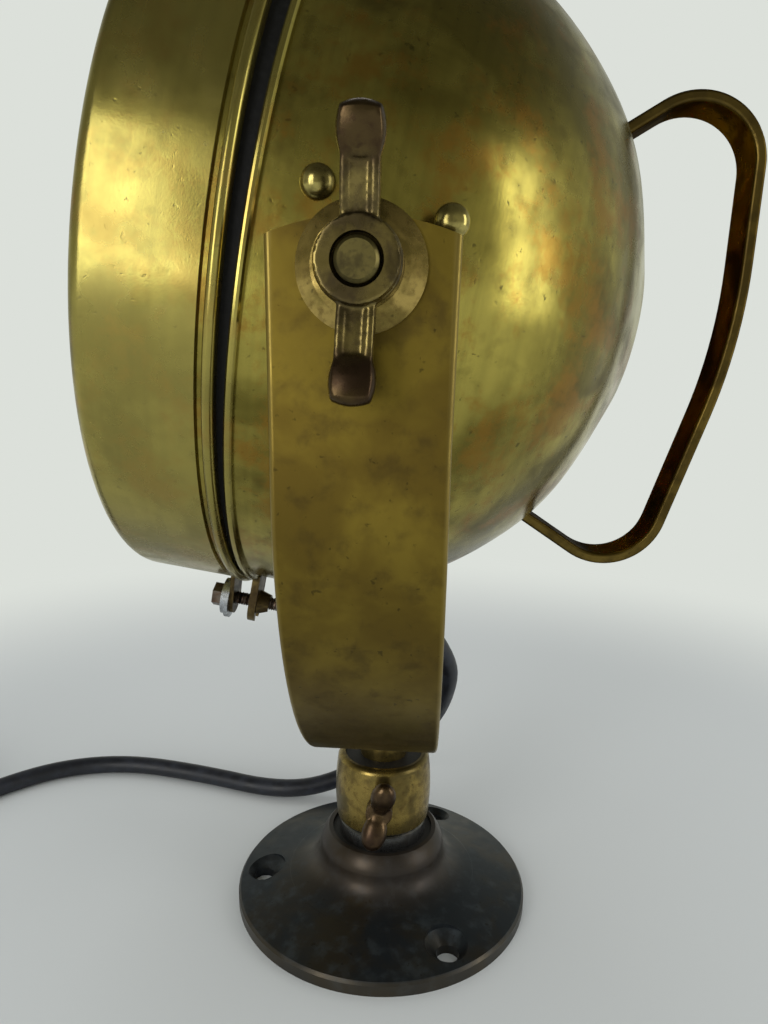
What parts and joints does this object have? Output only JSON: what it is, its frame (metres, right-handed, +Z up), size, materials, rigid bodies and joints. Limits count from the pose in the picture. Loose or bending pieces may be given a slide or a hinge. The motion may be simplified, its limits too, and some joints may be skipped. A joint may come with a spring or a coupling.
{
  "type": "ship searchlight",
  "caption": "Round brass ship searchlight with a hinged glass bezel and strap handle, tilting in a U yoke that turns on a dark bronze screw-down flange, with its mains cord.",
  "frame": {"origin": "centre of the base screw circle, on the underside of the flange", "axes": "+Z up along the pan axis, lamp front toward -X, tilt axis along Y, cord's gland and hanging run on the +Y side"},
  "size_m": [0.5797, 0.2806, 0.388],
  "materials": {
    "lamp_brass": "worn satin brass with stains",
    "yoke_brass": "dull olive-brown brass",
    "patinated_brass": "dark brown patina, edges worn bright",
    "dark_bronze": "oxidised cast bronze",
    "steel": "turned steel",
    "dark_steel": "dark brown steel",
    "zinc": "zinc plated",
    "silvered": "silvered bowl",
    "clear_glass": "clear",
    "porcelain": "glazed porcelain",
    "black_fibre": "matte",
    "black_rubber": "matte",
    "cord_rubber": "dark blue-black sheath"
  },
  "bodies": {
    "base": {"base_flange": "dark_bronze", "spigot": "steel", "neck_ring": "black_fibre", "spigot_washer": "steel", "spigot_nut": "steel"},
    "yoke": {"swivel_sleeve": "lamp_brass", "sleeve_washer": "dark_steel", "yoke_stem": "lamp_brass", "yoke_strap": "yoke_brass", "stem_washer": "steel", "stem_nut": "steel", "pivot_washers": "lamp_brass", "cord_hanging": "cord_rubber", "cord_coil": "cord_rubber", "cord_tail": "cord_rubber", "strain_relief": "black_rubber", "plug_body": "black_rubber", "plug_pins": "lamp_brass"},
    "thumb_screw": {"thumb_screw": "patinated_brass"},
    "drum": {"drum_shell": "lamp_brass", "drum_front_ring": "lamp_brass", "rim_gasket": "black_rubber", "trunnion_plates": "lamp_brass", "trunnion_rivets": "lamp_brass", "pivot_bolts": "patinated_brass", "pivot_spacers": "yoke_brass", "handle": "lamp_brass", "handle_plates": "lamp_brass", "clamp_lug": "lamp_brass", "drum_hinge_leaf": "lamp_brass", "hinge_pin": "lamp_brass", "gland_body": "lamp_brass", "gland_nut": "lamp_brass", "inner_lead": "black_rubber", "reflector": "silvered", "reflector_screws": "lamp_brass", "holder_stand": "steel", "lamp_holder": "porcelain", "bulb_cap": "lamp_brass", "bulb_glass": "clear_glass"},
    "bezel": {"bezel_rim": "lamp_brass", "front_glass": "clear_glass", "glass_gasket": "black_rubber", "glass_retaining_ring": "lamp_brass", "bezel_hinge_leaf": "lamp_brass", "clamp_tab": "lamp_brass", "clamp_washers": "zinc"},
    "clamp_screw": {"clamp_screw": "dark_steel"},
    "near_wing_nut": {"near_wing_nut": "patinated_brass"},
    "far_wing_nut": {"far_wing_nut": "patinated_brass"}
  },
  "joints": [
    {"name": "pan", "type": "hinge", "parent": "base", "child": "yoke", "pos_m": [0, 0, 0.05], "axis": [0, 0, 1], "range_deg": [-170, 170]},
    {"name": "tilt", "type": "hinge", "parent": "yoke", "child": "drum", "pos_m": [0, 0, 0.2478], "axis": [0, 1, 0], "range_deg": [-55, 60], "deforming": ["cord_hanging"]},
    {"name": "thumb_turn", "type": "hinge", "parent": "yoke", "child": "thumb_screw", "pos_m": [0, -0.025, 0.05], "axis": [0, -1, 0], "continuous": true},
    {"name": "bezel_open", "type": "hinge", "parent": "drum", "child": "bezel", "pos_m": [-0.01125, 0, 0.38424], "axis": [0, 1, 0], "range_deg": [0, 105]},
    {"name": "clamp_turn", "type": "hinge", "parent": "bezel", "child": "clamp_screw", "pos_m": [-0.05831, -0.025, 0.13859], "axis": [0.9885, 0, -0.1513], "continuous": true},
    {"name": "near_nut_turn", "type": "hinge", "parent": "drum", "child": "near_wing_nut", "pos_m": [0, 0, 0.2478], "axis": [0, -1, 0], "continuous": true},
    {"name": "far_nut_turn", "type": "hinge", "parent": "drum", "child": "far_wing_nut", "pos_m": [0, 0, 0.2478], "axis": [0, 1, 0], "continuous": true}
  ]
}
